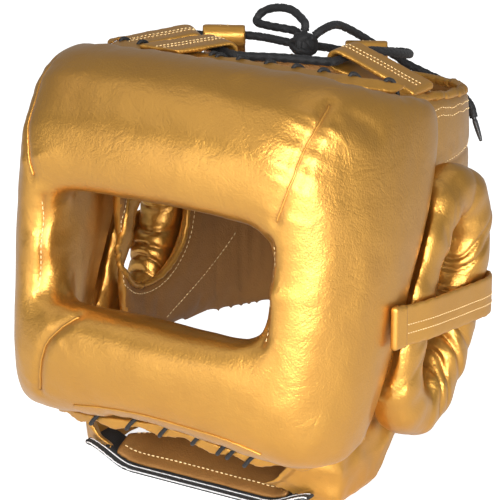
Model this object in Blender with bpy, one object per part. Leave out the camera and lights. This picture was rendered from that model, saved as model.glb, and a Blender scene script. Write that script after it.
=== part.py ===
"""Sparring head guard with a padded face bar, modelled as its sewn pieces.

Metres, +Z up. X points to the wearer's left and -Y to the front. The guard rests
on its chin strap and jaw flaps, so z = 0 is the surface that it stands on.
"""

import math

import bmesh
import bpy
from mathutils import Vector
from mathutils.bvhtree import BVHTree

# Frame and fits
HEAD_Y = 0.024
CLEARANCE = 0.0003
DRAPE_CLEARANCE = 0.0008
WELD = 0.000001

# Eye opening, measured at the middle of the padding
EYE_HALF_WIDTH = 0.071
EYE_HALF_HEIGHT = 0.031
EYE_Z = 0.146

# Bumper, the padded ring of forehead roll, cheeks and face bar
FOREHEAD_Y = -0.130
BAR_Y = -0.137
BUMPER_REAR_Y = -0.005
BUMPER_HALF_WIDTH = 0.101
BAR_BOTTOM = 0.046
CROWN_HEIGHT = 0.246
PAD_HALF = 0.021
KNEE_PUFF = 0.003

# Shell round the head
SHELL_HALF_WIDTH = 0.090
SHELL_HALF_LENGTH = 0.106
SHELL_Y = 0.003
SHELL_WALL = 0.008
SHELL_POWER = 3.0
RIM_FRONT = 0.242
RIM_REAR = 0.207
BROW_EDGE = 0.182
JAW_EDGE = 0.050
NAPE_EDGE = 0.046
NOTCH_WIDTH = 0.056
REAR_BAND = 0.030

# Ear holes and the puffed pads round them
EAR_Y = -0.014
EAR_Z = 0.110
EAR_HOLE_Y = -0.026
EAR_HOLE_Z = 0.128
EAR_HOLE_WIDTH = 0.080
EAR_HOLE_HEIGHT = 0.076
EAR_LENGTH = 0.163
EAR_WIDTH = 0.094
EAR_TUBE = 0.035
EAR_THICKNESS = 0.031
EAR_OUTER_X = 0.120
EAR_LEAN = math.radians(24)
EAR_GATHERS = 14
GATHER_DEPTH = 0.0016

# Straps
STRAP_THICKNESS = 0.0026
EAR_STRAP_WIDTH = 0.024
EAR_STRAP_FRONT_Y = -0.082
EAR_STRAP_REAR_Y = 0.062
EAR_STRAP_FRONT_Z = 0.115
EAR_STRAP_REAR_Z = 0.101
LOOP_WIDTH = 0.026
CLOSURE_HEIGHT = 0.066
CLOSURE_Z = 0.158
CLOSURE_HALF_ANGLE = math.radians(28)

# Cord through the crown loops
CORD_DIAMETER = 0.005
CORD_PLAY = 0.0016
AGLET_DIAMETER = 0.0034
AGLET_LENGTH = 0.015

# Hems, jaw and chin
HEM_THICKNESS = 0.003
HEM_DEPTH = 0.013
HEM_SCALLOP = 0.002
HEM_PITCH = 0.014
TAB_PITCH = 0.018
BAR_TAB = 0.008
FLAP_THICKNESS = 0.004
FLAP_FRONT_Y = -0.112
FLAP_REAR_Y = -0.018
FLAP_HALF_WIDTH = 0.084
FLAP_BULGE = 0.008
CHIN_STRAP_WIDTH = 0.026
CHIN_STRAP_Y = -0.090
CHIN_STRAP_HALF_LENGTH = 0.078
CHIN_STRAP_FLAT = 0.046
CHIN_STRAP_RISE = 0.011
CHIN_PAD_LENGTH = 0.120
CHIN_PAD_DEPTH = 0.046
CHIN_PAD_THICKNESS = 0.005
CHIN_PAD_TILT = math.radians(26)

# Half of the bumper, from the crown centre round the wearer's left to the bar centre.
# eye_x and eye_z are shares of the half eye opening; hem_x is a share of the half width,
# hem_y runs from the front (0) to the rear edge (1), hem_z from bar bottom (0) to crown (1);
# knee says how far out the padding turns back, and thick is a share of PAD_HALF.
BUMPER_COLUMNS = ("eye_x", "eye_z", "hem_x", "hem_y", "hem_z", "knee", "thick")
BUMPER_ROWS = (
    (0.00, 1.00, 0.00, 0.40, 1.00, 0.90, 1.00),
    (0.54, 1.00, 0.42, 0.41, 1.00, 0.90, 1.00),
    (0.85, 0.95, 0.76, 0.46, 0.99, 0.88, 1.00),
    (0.97, 0.74, 0.94, 0.68, 0.95, 0.85, 0.98),
    (1.00, 0.42, 1.02, 0.98, 0.88, 0.82, 0.95),
    (1.00, 0.12, 1.04, 0.86, 0.62, 0.80, 0.93),
    (1.00, -0.18, 1.03, 0.68, 0.37, 0.80, 0.95),
    (1.00, -0.50, 1.01, 0.50, 0.12, 0.80, 1.00),
    (0.97, -0.80, 0.97, 0.34, 0.00, 0.78, 1.03),
    (0.85, -0.96, 0.86, 0.10, -0.02, 0.66, 1.05),
    (0.52, -1.00, 0.50, -0.02, 0.00, 0.52, 1.05),
    (0.00, -1.00, 0.00, -0.04, 0.03, 0.50, 1.05),
)
BUMPER_SECTIONS = 60
HEM_SHARE_CROWN = 0.25
HEM_SHARE_BAR = 0.30

# Crown loops: where each strap is sewn on (base) and where its fold holds the cord (tip)
LOOPS = {
    "crown_loop_1": ((-0.038, -0.086, 0.250), (-0.019, -0.047, 0.247)),
    "crown_loop_2": ((-0.080, -0.062, 0.243), (-0.050, -0.030, 0.245)),
    "crown_loop_3": ((-0.083, 0.056, 0.2165), (-0.068, 0.033, 0.233)),
    "crown_loop_4": ((-0.010, 0.1035, 0.2095), (0.002, 0.084, 0.222)),
    "crown_loop_5": ((0.084, 0.004, 0.2265), (0.037, 0.002, 0.240)),
}

# The knot, and the way that each cord leaves it
KNOT_PLACE = (-0.017, 0.042, 0.232)
KNOT_DIAMETER = 0.016
CROWN_EXITS = ((-1.00, -0.05, 0.02), (0.20, 0.95, -0.25))
BOW_EXITS = ((-0.10, 0.30, 0.95), (-0.75, 0.45, 0.50))
TAIL_EXITS = ((0.55, 0.60, 0.60),)

# The cord's route round the crown, through the folds of the five loops
CROWN_CORD_ROUTE = (
    (-0.0440, 0.0415, 0.2330),
    (-0.0570, 0.0400, 0.2330),
    (-0.0680, 0.0330, 0.2330),
    (-0.0790, 0.0260, 0.2332),
    (-0.0845, 0.0190, 0.2345),
    (-0.0830, 0.0100, 0.2365),
    (-0.0760, -0.0020, 0.2395),
    (-0.0680, -0.0125, 0.2430),
    (-0.0595, -0.0211, 0.2450),
    (-0.0500, -0.0300, 0.2450),
    (-0.0405, -0.0385, 0.2452),
    (-0.0360, -0.0402, 0.2461),
    (-0.0307, -0.0413, 0.2469),
    (-0.0190, -0.0470, 0.2470),
    (-0.0073, -0.0527, 0.2470),
    (-0.0010, -0.0533, 0.2468),
    (0.0040, -0.0485, 0.2460),
    (0.0150, -0.0360, 0.2443),
    (0.0270, -0.0240, 0.2420),
    (0.0350, -0.0160, 0.2405),
    (0.0374, -0.0110, 0.2400),
    (0.0370, 0.0020, 0.2400),
    (0.0364, 0.0145, 0.2400),
    (0.0390, 0.0280, 0.2385),
    (0.0405, 0.0450, 0.2345),
    (0.0380, 0.0650, 0.2290),
    (0.0320, 0.0840, 0.2240),
    (0.0235, 0.0940, 0.2222),
    (0.0130, 0.0908, 0.2220),
    (0.0020, 0.0840, 0.2220),
    (-0.0090, 0.0770, 0.2222),
    (-0.0150, 0.0680, 0.2250),
)
BOW_ROUTE = (
    (-0.0220, 0.0480, 0.2460),
    (-0.0320, 0.0520, 0.2495),
    (-0.0440, 0.0540, 0.2490),
    (-0.0540, 0.0540, 0.2450),
    (-0.0560, 0.0510, 0.2395),
    (-0.0460, 0.0490, 0.2385),
    (-0.0350, 0.0480, 0.2385),
)
TAIL_ROUTE = (
    (-0.0090, 0.0580, 0.2410),
    (-0.0100, 0.0700, 0.2395),
    (-0.0090, 0.0820, 0.2345),
    (-0.0060, 0.0930, 0.2280),
    (-0.0030, 0.1020, 0.2220),
    (0.0000, 0.1095, 0.2175),
    (0.0050, 0.1140, 0.2135),
    (0.0140, 0.1145, 0.2090),
    (0.0280, 0.1140, 0.2050),
    (0.0420, 0.1125, 0.2015),
    (0.0530, 0.1105, 0.1970),
    (0.0610, 0.1085, 0.1915),
    (0.0645, 0.1075, 0.1840),
)

MATERIALS = {
    "gold_leather": ((0.58, 0.34, 0.09), 0.34, 0.62),
    "brown_lining": ((0.11, 0.055, 0.03), 0.75, 0.0),
    "black_webbing": ((0.012, 0.012, 0.013), 0.7, 0.0),
    "black_cord": ((0.01, 0.01, 0.012), 0.62, 0.0),
    "black_plastic": ((0.015, 0.015, 0.016), 0.35, 0.0),
}


def clear_scene():
    """Remove whatever the open file holds."""
    for item in list(bpy.data.objects):
        bpy.data.objects.remove(item, do_unlink=True)


def material(name):
    """One Principled material from the table, made once."""
    found = bpy.data.materials.get(name)
    if found:
        return found
    colour, roughness, metallic = MATERIALS[name]
    made = bpy.data.materials.new(name)
    made.use_nodes = True
    shader = made.node_tree.nodes["Principled BSDF"]
    shader.inputs["Base Color"].default_value = (*colour, 1.0)
    shader.inputs["Roughness"].default_value = roughness
    shader.inputs["Metallic"].default_value = metallic
    return made


def add_object(name, data, slot):
    """Link an object with its own copy of a material."""
    made = bpy.data.objects.new(name, data)
    coat = material(slot).copy()
    coat.name = name + "_" + slot
    data.materials.append(coat)
    bpy.context.collection.objects.link(made)
    return made


def mesh_object(name, bm, slot, smooth_angle=40):
    """Finish a bmesh: weld, close its ends, face it outwards and shade it smooth."""
    bmesh.ops.remove_doubles(bm, verts=bm.verts, dist=WELD)
    rim = [edge for edge in bm.edges if edge.is_boundary]
    if rim:
        bmesh.ops.holes_fill(bm, edges=rim, sides=0)
    bmesh.ops.recalc_face_normals(bm, faces=bm.faces)
    mesh = bpy.data.meshes.new(name)
    bm.to_mesh(mesh)
    bm.free()
    mesh.shade_smooth()
    mesh.set_sharp_from_angle(angle=math.radians(smooth_angle))
    return add_object(name, mesh, slot)


def wrapped_grid(name, around, across, place, slot, smooth_angle=40):
    """Lay a grid over place(u, v); edges that meet are welded, open ends are closed."""
    bm = bmesh.new()
    bmesh.ops.create_grid(bm, x_segments=around, y_segments=across, size=0.5)
    for vert in bm.verts:
        vert.co = place(vert.co.x + 0.5, vert.co.y + 0.5)
    return mesh_object(name, bm, slot, smooth_angle)


def mix(start, end, share):
    """Straight blend of two numbers or vectors."""
    return start + (end - start) * share


def smooth_step(low, high, value):
    """0 below low, 1 above high, an even slope between."""
    share = min(max((value - low) / (high - low), 0.0), 1.0)
    return share * share * (3 - 2 * share)


def superellipse(angle, power):
    """Point of a unit superellipse; power 2 is a circle and more is boxier."""
    c = math.cos(angle)
    s = math.sin(angle)
    return (math.copysign(abs(c) ** (2 / power), c), math.copysign(abs(s) ** (2 / power), s))


def spline(rows, position, closed):
    """Catmull-Rom value of a list of rows at a position counted in rows."""
    count = len(rows)
    index = math.floor(position)
    share = position - index
    picked = []
    for step in (-1, 0, 1, 2):
        wanted = index + step
        wanted = wanted % count if closed else min(max(wanted, 0), count - 1)
        picked.append(rows[wanted])
    before, start, end, after = picked
    out = []
    for a, b, c, d in zip(before, start, end, after):
        bend = (2 * a - 5 * b + 4 * c - d) * share ** 2 + (3 * b - a - 3 * c + d) * share ** 3
        out.append(b + 0.5 * ((c - a) * share + bend))
    return out


def smooth_route(points, count):
    """Points at even steps along a smooth curve through the route's own points."""
    last = len(points) - 1
    return [Vector(spline(points, last * step / (count - 1), False)) for step in range(count)]


def keep_largest(mesh):
    """Drop the loose slivers that a cut leaves, and keep the main body."""
    bm = bmesh.new()
    bm.from_mesh(mesh)
    left = set(bm.verts)
    bodies = []
    while left:
        body = {left.pop()}
        front = list(body)
        while front:
            vert = front.pop()
            for edge in vert.link_edges:
                other = edge.other_vert(vert)
                if other in left:
                    left.discard(other)
                    body.add(other)
                    front.append(other)
        bodies.append(body)
    bodies.sort(key=len)
    spare = [vert for body in bodies[:-1] for vert in body]
    if spare:
        bmesh.ops.delete(bm, geom=spare, context="VERTS")
    bm.to_mesh(mesh)
    bm.free()


def cutter_object(bm):
    """A closed guide to cut with, which the cut removes."""
    bm.normal_update()
    bmesh.ops.recalc_face_normals(bm, faces=bm.faces)
    mesh = bpy.data.meshes.new("cutter")
    bm.to_mesh(mesh)
    bm.free()
    cutter = bpy.data.objects.new("cutter", mesh)
    bpy.context.collection.objects.link(cutter)
    return cutter


def grown_copy(neighbour, clearance):
    """A copy of a piece that is larger by the clearance, to cut its seat with."""
    bpy.context.view_layer.update()
    shaped = neighbour.evaluated_get(bpy.context.evaluated_depsgraph_get())
    whole = bpy.data.meshes.new_from_object(shaped)
    bm = bmesh.new()
    bm.from_mesh(whole)
    bpy.data.meshes.remove(whole)
    bm.normal_update()
    moves = [(vert, vert.normal * clearance) for vert in bm.verts]
    for vert, move in moves:
        vert.co += move
    return cutter_object(bm)


def cut(piece, cutter):
    """Apply one Boolean and remove its cutter."""
    change = piece.modifiers.new("cut", "BOOLEAN")
    change.operation = "DIFFERENCE"
    change.solver = "EXACT"
    change.object = cutter
    bpy.context.view_layer.update()
    shaped = piece.evaluated_get(bpy.context.evaluated_depsgraph_get())
    mesh = bpy.data.meshes.new_from_object(shaped)
    piece.modifiers.clear()
    old = piece.data
    piece.data = mesh
    mesh.name = piece.name
    bpy.data.meshes.remove(old)
    bpy.data.objects.remove(cutter, do_unlink=True)


def seat(piece, neighbours):
    """Shape a piece to the neighbours that it lies against, with the clearance between."""
    for neighbour in neighbours:
        cut(piece, grown_copy(neighbour, CLEARANCE))
    keep_largest(piece.data)
    return piece


def bumper_row(position):
    """Named values of the bumper's section at a place round the ring, both sides alike."""
    rows = [list(row) for row in BUMPER_ROWS]
    for row in BUMPER_ROWS[-2:0:-1]:
        rows.append([-row[0], row[1], -row[2]] + list(row[3:]))
    return dict(zip(BUMPER_COLUMNS, spline(rows, position, True)))


def bumper_edges(position):
    """Eye edge, hem edge and thickness of the bumper at a place round the ring."""
    row = bumper_row(position)
    height = (row["eye_z"] + 1) / 2
    eye = Vector((
        EYE_HALF_WIDTH * row["eye_x"],
        mix(BAR_Y, FOREHEAD_Y, height),
        EYE_Z + EYE_HALF_HEIGHT * row["eye_z"],
    ))
    hem = Vector((
        BUMPER_HALF_WIDTH * row["hem_x"],
        mix(FOREHEAD_Y, BUMPER_REAR_Y, row["hem_y"]),
        mix(BAR_BOTTOM, CROWN_HEIGHT, row["hem_z"]),
    ))
    knee = mix(eye, hem, row["knee"])
    knee.y = eye.y - KNEE_PUFF
    return eye, knee, hem, PAD_HALF * row["thick"]


def bumper_point(position, angle):
    """A point of the bumper's skin: a padded section whose spine turns back round the head."""
    eye, knee, hem, half = bumper_edges(position)
    power = 2.8 if math.cos(angle) < 0 else 2.1
    along, out = superellipse(angle, power)
    share = (along + 1) / 2
    near = mix(eye, knee, share)
    far = mix(knee, hem, share)
    spot = mix(near, far, share)
    run = (far - near).normalized()
    core = Vector((0.0, EAR_Y, EYE_Z))
    normal = spot - core
    normal = (normal - run * normal.dot(run)).normalized()
    return spot + normal * out * half


def make_bumper():
    """Forehead roll, cheeks and face bar round the eye opening."""
    count = 2 * (len(BUMPER_ROWS) - 1)

    def place(u, v):
        return bumper_point(u * count, v * math.tau)

    return wrapped_grid("bumper", BUMPER_SECTIONS, 18, place, "gold_leather")


def shell_plan(angle, offset):
    """Plan of the head shell, moved out or in by an offset."""
    across, along = superellipse(angle, SHELL_POWER)
    return Vector((
        (SHELL_HALF_WIDTH + offset) * across,
        SHELL_Y + (SHELL_HALF_LENGTH + offset) * along,
        0.0,
    ))


def shell_rim(y):
    """Height of the crown rim, which falls to the rear."""
    front = SHELL_Y - SHELL_HALF_LENGTH
    return mix(RIM_FRONT, RIM_REAR, (y - front) / (2 * SHELL_HALF_LENGTH))


def shell_foot(y):
    """Lower edge of the shell: brow, then jaw, then nape."""
    face = smooth_step(SHELL_Y - 0.86 * SHELL_HALF_LENGTH, SHELL_Y - 0.5 * SHELL_HALF_LENGTH, y)
    nape = smooth_step(SHELL_Y, SHELL_Y + 0.6 * SHELL_HALF_LENGTH, y)
    return mix(mix(BROW_EDGE, JAW_EDGE, face), NAPE_EDGE, nape)


def box_cutter(low, high):
    """A box between two corners, to cut with."""
    bm = bmesh.new()
    bmesh.ops.create_cube(bm, size=1.0)
    for vert in bm.verts:
        share = vert.co + Vector((0.5, 0.5, 0.5))
        vert.co = Vector(mix(a, b, c) for a, b, c in zip(low, high, share))
    return cutter_object(bm)


def ear_cutter(side):
    """An oval plug along X, as large as the ear hole."""
    bm = bmesh.new()
    bmesh.ops.create_cone(
        bm, cap_ends=True, segments=28, radius1=0.5, radius2=0.5, depth=4 * SHELL_WALL)
    for vert in bm.verts:
        vert.co = Vector((
            side * (SHELL_HALF_WIDTH - SHELL_WALL / 2) + vert.co.z,
            EAR_HOLE_Y + vert.co.x * EAR_HOLE_WIDTH,
            EAR_HOLE_Z + vert.co.y * EAR_HOLE_HEIGHT,
        ))
    return cutter_object(bm)


def make_liner(bumper):
    """Padded shell round the head, open at the crown, the face, the ears and the nape."""
    def place(u, v):
        angle = math.pi / 2 + u * math.tau
        side, height = superellipse(v * math.tau, 5)
        spot = shell_plan(angle, SHELL_WALL / 2 * (side - 1))
        outer = shell_plan(angle, 0)
        spot.z = mix(shell_foot(outer.y), shell_rim(outer.y), (height + 1) / 2)
        return spot

    liner = wrapped_grid("liner", 52, 12, place, "gold_leather")
    for side in (1, -1):
        cut(liner, ear_cutter(side))
    notch_low = (-NOTCH_WIDTH / 2, SHELL_Y + SHELL_HALF_LENGTH / 2, 0.0)
    notch_high = (NOTCH_WIDTH / 2, SHELL_Y + 2 * SHELL_HALF_LENGTH, RIM_REAR - REAR_BAND)
    cut(liner, box_cutter(notch_low, notch_high))
    return seat(liner, [bumper])


def make_ear_pad(side, bumper, liner):
    """Puffed oval ring with gathers round the ear, leaning back at the top."""
    half_tube = EAR_TUBE / 2
    ring_length = EAR_LENGTH / 2 - half_tube
    ring_width = EAR_WIDTH / 2 - half_tube

    def place(u, v):
        turn = u * math.tau
        c, s = superellipse(turn, 2.3)
        radial = Vector((0, c / ring_width, s / ring_length)).normalized()
        across, out = superellipse(v * math.tau, 2.3)
        puff = GATHER_DEPTH * math.cos(EAR_GATHERS * turn) * (0.75 - 0.25 * across)
        swell = 1.0 + puff / half_tube
        y = ring_width * c + radial.y * across * half_tube * swell
        z = ring_length * s + radial.z * across * half_tube * swell
        lean_y = y * math.cos(EAR_LEAN) + z * math.sin(EAR_LEAN)
        lean_z = z * math.cos(EAR_LEAN) - y * math.sin(EAR_LEAN)
        x = EAR_OUTER_X - EAR_THICKNESS / 2 + out * EAR_THICKNESS / 2 * swell
        return Vector((side * x, EAR_Y + lean_y, EAR_Z + lean_z))

    name = "ear_pad_left" if side > 0 else "ear_pad_right"
    pad = wrapped_grid(name, 56, 10, place, "gold_leather")
    return seat(pad, [liner, bumper])


def outline_hull(points):
    """Upper hull of (along, height) points: a taut strap lies on it and bridges hollows."""
    hull = []
    for point in points:
        while len(hull) >= 2:
            (x1, y1), (x2, y2) = hull[-2], hull[-1]
            if (x2 - x1) * (point[1] - y1) - (y2 - y1) * (point[0] - x1) < 0:
                break
            hull.pop()
        hull.append(point)
    return hull


def hull_height(hull, along):
    """Height of a hull at a place along it."""
    for (x1, y1), (x2, y2) in zip(hull, hull[1:]):
        if along <= x2:
            return mix(y1, y2, (along - x1) / (x2 - x1))
    return hull[-1][1]


def make_ear_strap(side, carriers):
    """Flat strap drawn taut over the ear pad from the cheek to the rear of the shell."""
    trees = []
    for carrier in carriers:
        bm = bmesh.new()
        bm.from_mesh(carrier.data)
        trees.append(BVHTree.FromBMesh(bm))
        bm.free()
    sky = EAR_OUTER_X + EAR_THICKNESS
    steps = 28

    def surface(y, z):
        best = 0.0
        for tree in trees:
            hit = tree.ray_cast(Vector((side * sky, y, z)), Vector((-side, 0, 0)))[0]
            if hit is not None:
                best = max(best, abs(hit.x))
        return best

    lanes = [step / 12 - 0.5 for step in range(13)]
    heights = []
    for step in range(4 * steps + 1):
        y = mix(EAR_STRAP_FRONT_Y, EAR_STRAP_REAR_Y, step / (4 * steps))
        z = mix(EAR_STRAP_FRONT_Z, EAR_STRAP_REAR_Z, step / (4 * steps))
        heights.append((y, max(surface(y, z + lane * EAR_STRAP_WIDTH) for lane in lanes)))
    hull = outline_hull(heights)

    def place(u, v):
        y = mix(EAR_STRAP_FRONT_Y, EAR_STRAP_REAR_Y, u)
        z = mix(EAR_STRAP_FRONT_Z, EAR_STRAP_REAR_Z, u)
        corner = round(v * 4) % 4
        lane = (-0.5, 0.5, 0.5, -0.5)[corner]
        lift = (0, 0, 1, 1)[corner] * STRAP_THICKNESS
        x = hull_height(hull, y) + DRAPE_CLEARANCE + lift
        return Vector((side * x, y, z + lane * EAR_STRAP_WIDTH))

    name = "ear_strap_left" if side > 0 else "ear_strap_right"
    return wrapped_grid(name, steps, 4, place, "gold_leather")


def make_crown_loop(name, base, tip, seats):
    """A strap folded back on itself; its fold leaves an eye for the cord."""
    base = Vector(base)
    tip = Vector(tip)
    reach = tip - base
    run = reach.normalized()
    width_axis = run.cross(Vector((0, 0, 1))).normalized()
    up = width_axis.cross(run)
    eye = CORD_DIAMETER / 2 + CORD_PLAY + STRAP_THICKNESS / 2
    pinch = STRAP_THICKNESS * 0.62
    length = reach.length
    arc_steps = 8
    straight = 4
    path = []
    for step in range(arc_steps + 1):
        angle = mix(-math.pi / 2, math.pi / 2, step / arc_steps)
        path.append((length + eye * math.cos(angle), eye * math.sin(angle)))
    for step in range(1, straight):
        share = step / straight
        path.append((mix(length, 0, share), mix(eye, pinch, share)))
    for step in range(arc_steps + 1):
        angle = mix(math.pi / 2, 3 * math.pi / 2, step / arc_steps)
        path.append((pinch * math.cos(angle), pinch * math.sin(angle)))
    for step in range(1, straight):
        share = step / straight
        path.append((mix(0, length, share), mix(-pinch, -eye, share)))
    count = len(path)

    def place(u, v):
        index = round(u * count) % count
        here = Vector(path[index])
        ahead = Vector(path[(index + 1) % count]) - Vector(path[index - 1])
        outward = Vector((ahead.y, -ahead.x)).normalized()
        corner = round(v * 4) % 4
        lane = (-0.5, 0.5, 0.5, -0.5)[corner] * LOOP_WIDTH
        lift = (-0.5, -0.5, 0.5, 0.5)[corner] * STRAP_THICKNESS
        spot = here + outward * lift
        return base + run * spot.x + up * spot.y + width_axis * lane

    loop = wrapped_grid(name, count, 4, place, "gold_leather", 50)
    return seat(loop, seats)


def make_cord(name, route, diameter, slot="black_cord"):
    """Round cord along a smooth curve through its route."""
    length = sum((Vector(b) - Vector(a)).length for a, b in zip(route, route[1:]))
    count = max(6, round(length / (1.6 * diameter)))
    curve = bpy.data.curves.new(name, "CURVE")
    curve.dimensions = "3D"
    curve.bevel_depth = diameter / 2
    curve.bevel_resolution = 2
    curve.use_fill_caps = True
    line = curve.splines.new("POLY")
    line.points.add(count - 1)
    for point, spot in zip(line.points, smooth_route(route, count)):
        point.co = (*spot, 1.0)
    return add_object(name, curve, slot)


def knotted(route, exits):
    """A route that starts, and with two exits also ends, square on the knot."""
    out = list(route)
    for exit_way, first in zip(exits, (True, False)):
        way = Vector(exit_way).normalized()
        rim = Vector(KNOT_PLACE) + way * (KNOT_DIAMETER / 2 + CLEARANCE)
        ends = [tuple(rim), tuple(rim + way * CORD_DIAMETER * 0.8)]
        out = ends + out if first else out + ends[::-1]
    return out


def make_knot():
    """The tied knot, a ball that the cord ends meet."""
    bm = bmesh.new()
    bmesh.ops.create_uvsphere(bm, u_segments=16, v_segments=10, radius=KNOT_DIAMETER / 2)
    bmesh.ops.translate(bm, verts=bm.verts, vec=KNOT_PLACE)
    return mesh_object("cord_knot", bm, "black_cord")


def make_aglet():
    """Thin moulded tip past the end of the free cord."""
    end = Vector(TAIL_ROUTE[-1])
    run = (end - Vector(TAIL_ROUTE[-2])).normalized()
    start = end + run * 2 * CLEARANCE
    route = [tuple(start + run * AGLET_LENGTH * share) for share in (0, 0.25, 0.5, 0.75, 1)]
    return make_cord("cord_aglet", route, AGLET_DIAMETER, "black_plastic")


def make_rear_closure():
    """Plain black closure strap across the gap at the nape."""
    def place(u, v):
        angle = math.pi / 2 + mix(-CLOSURE_HALF_ANGLE, CLOSURE_HALF_ANGLE, u)
        corner = round(v * 4) % 4
        lane = (-0.5, 0.5, 0.5, -0.5)[corner]
        lift = (0, 0, 1, 1)[corner] * STRAP_THICKNESS
        spot = shell_plan(angle, DRAPE_CLEARANCE + lift)
        spot.z = CLOSURE_Z + lane * CLOSURE_HEIGHT
        return spot

    return wrapped_grid("rear_closure", 20, 4, place, "black_webbing")


def edge_strip(name, start, end, steps, depth, wave, wave_depth):
    """Leather strip that carries on from the bumper's hem edge, with a shaped free edge."""
    pitch = 2 * (len(BUMPER_ROWS) - 1) / BUMPER_SECTIONS

    def place(u, v):
        section = mix(start, end, u) / pitch
        low = math.floor(section)
        near = bumper_edges(low * pitch)
        far = bumper_edges((low + 1) * pitch)
        knee = mix(near[1], far[1], section - low)
        hem = mix(near[2], far[2], section - low)
        run = (hem - knee).normalized()
        outward = hem - Vector((0.0, EAR_Y, EYE_Z))
        outward = (outward - run * outward.dot(run)).normalized()
        corner = round(v * 4) % 4
        reach = (0, 1, 1, 0)[corner]
        lift = (-0.5, -0.5, 0.5, 0.5)[corner] * HEM_THICKNESS
        back = 2 * CLEARANCE + reach * (depth + wave_depth * wave(u))
        return hem + run * back + outward * lift

    return wrapped_grid(name, steps, 4, place, "gold_leather")


def make_crown_hem():
    """Scalloped edge behind the bumper's crown hem, where the lacing runs."""
    span = len(BUMPER_ROWS) * HEM_SHARE_CROWN
    count = round(2 * BUMPER_HALF_WIDTH / HEM_PITCH)

    def scallop(u):
        return abs(math.sin(math.pi * count * u))

    return edge_strip("crown_hem", -span, span, 4 * count, HEM_DEPTH, scallop, HEM_SCALLOP)


def make_bar_hem():
    """Pointed tabs that hang below the face bar, where the lacing runs."""
    middle = len(BUMPER_ROWS) - 1
    span = middle * HEM_SHARE_BAR
    count = round(2 * BUMPER_HALF_WIDTH / TAB_PITCH)

    def point(u):
        return 1 - abs(2 * (count * u % 1) - 1)

    return edge_strip(
        "bar_hem", middle - span, middle + span, 4 * count, BAR_TAB / 2, point, BAR_TAB / 2)


def make_jaw_flap(side, seats):
    """Curved leather flap below the cheek, folded in to a flat foot on the surface."""
    def place(u, v):
        y = mix(FLAP_FRONT_Y, FLAP_REAR_Y, u)
        fall, turn = superellipse(v * math.tau, 4)
        share = (fall + 1) / 2
        front = smooth_step(0.30, 0.0, u)
        rear = smooth_step(0.70, 1.0, u)
        foot_z = 0.018 * front + 0.026 * rear
        z = mix(foot_z, JAW_EDGE - CLEARANCE, share)
        tuck = (1 - share) ** 2
        x = FLAP_HALF_WIDTH + FLAP_BULGE * math.sin(math.pi * min(1.6 * share, 1.0))
        x -= 0.030 * front * (0.4 + 0.6 * tuck) + 0.004 * tuck
        x += turn * FLAP_THICKNESS / 2
        return Vector((side * x, y, z))

    name = "jaw_flap_left" if side > 0 else "jaw_flap_right"
    flap = wrapped_grid(name, 18, 12, place, "gold_leather")
    return seat(flap, seats)


def chin_strap_height(x):
    """Underside of the chin strap: flat on the surface, then rising to the jaw flaps."""
    return CHIN_STRAP_RISE * smooth_step(CHIN_STRAP_FLAT, CHIN_STRAP_HALF_LENGTH, abs(x))


def make_chin_strap(seats):
    """Black elastic strap under the chin, flat on the surface in its middle."""
    def place(u, v):
        x = mix(-CHIN_STRAP_HALF_LENGTH, CHIN_STRAP_HALF_LENGTH, u)
        corner = round(v * 4) % 4
        lane = (-0.5, 0.5, 0.5, -0.5)[corner] * CHIN_STRAP_WIDTH
        lift = (0, 0, 1, 1)[corner] * STRAP_THICKNESS
        return Vector((x, CHIN_STRAP_Y + lane, chin_strap_height(x) + lift))

    strap = wrapped_grid("chin_strap", 34, 4, place, "black_webbing")
    return seat(strap, seats)


def make_chin_pad(seats):
    """Leaf-shaped leather pad behind the chin strap, rising to the rear."""
    def place(u, v):
        x = mix(-0.5, 0.5, u) * CHIN_PAD_LENGTH
        width = CHIN_PAD_DEPTH * (0.35 + 0.65 * math.cos(math.pi * mix(-0.5, 0.5, u)) ** 0.8)
        across, out = superellipse(v * math.tau, 3)
        along = (across + 1) / 2 * width
        y = CHIN_STRAP_Y - CHIN_STRAP_WIDTH * 0.3 + along * math.cos(CHIN_PAD_TILT)
        z = STRAP_THICKNESS + CHIN_PAD_THICKNESS * 0.15 + chin_strap_height(x)
        z += along * math.sin(CHIN_PAD_TILT) + out * CHIN_PAD_THICKNESS / 2
        return Vector((x, y, z))

    pad = wrapped_grid("chin_pad", 24, 12, place, "gold_leather")
    return seat(pad, seats)


def main():
    """Build every piece and stand the guard on its base point."""
    clear_scene()
    bumper = make_bumper()
    liner = make_liner(bumper)
    pieces = [bumper, liner]
    crown_hem = make_crown_hem()
    seat(liner, [crown_hem])
    bar_hem = make_bar_hem()
    pieces += [crown_hem, bar_hem]
    pads = []
    for side in (1, -1):
        pad = make_ear_pad(side, bumper, liner)
        pads.append(pad)
        pieces += [pad, make_ear_strap(side, [bumper, liner, pad])]
    loops = []
    for name, (base, tip) in LOOPS.items():
        loops.append(make_crown_loop(name, base, tip, [bumper, liner, crown_hem] + loops))
    pieces += loops
    pieces.append(make_rear_closure())
    flaps = [make_jaw_flap(side, [bumper, liner, bar_hem] + pads) for side in (1, -1)]
    strap = make_chin_strap(flaps)
    pieces += flaps + [strap, make_chin_pad([strap] + flaps)]
    routes = {
        "crown_cord": knotted(CROWN_CORD_ROUTE, CROWN_EXITS),
        "cord_bow": knotted(BOW_ROUTE, BOW_EXITS),
        "cord_tail": knotted(TAIL_ROUTE, TAIL_EXITS),
    }
    pieces += [make_cord(name, route, CORD_DIAMETER) for name, route in routes.items()]
    pieces += [make_aglet(), make_knot()]
    base_point = bpy.data.objects.new("base_point", None)
    base_point.location = (0, HEAD_Y, 0)
    bpy.context.collection.objects.link(base_point)
    for piece in pieces:
        piece.parent = base_point


main()
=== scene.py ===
"""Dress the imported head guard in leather, seams, lacing and cord, and light it."""

import math

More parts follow.
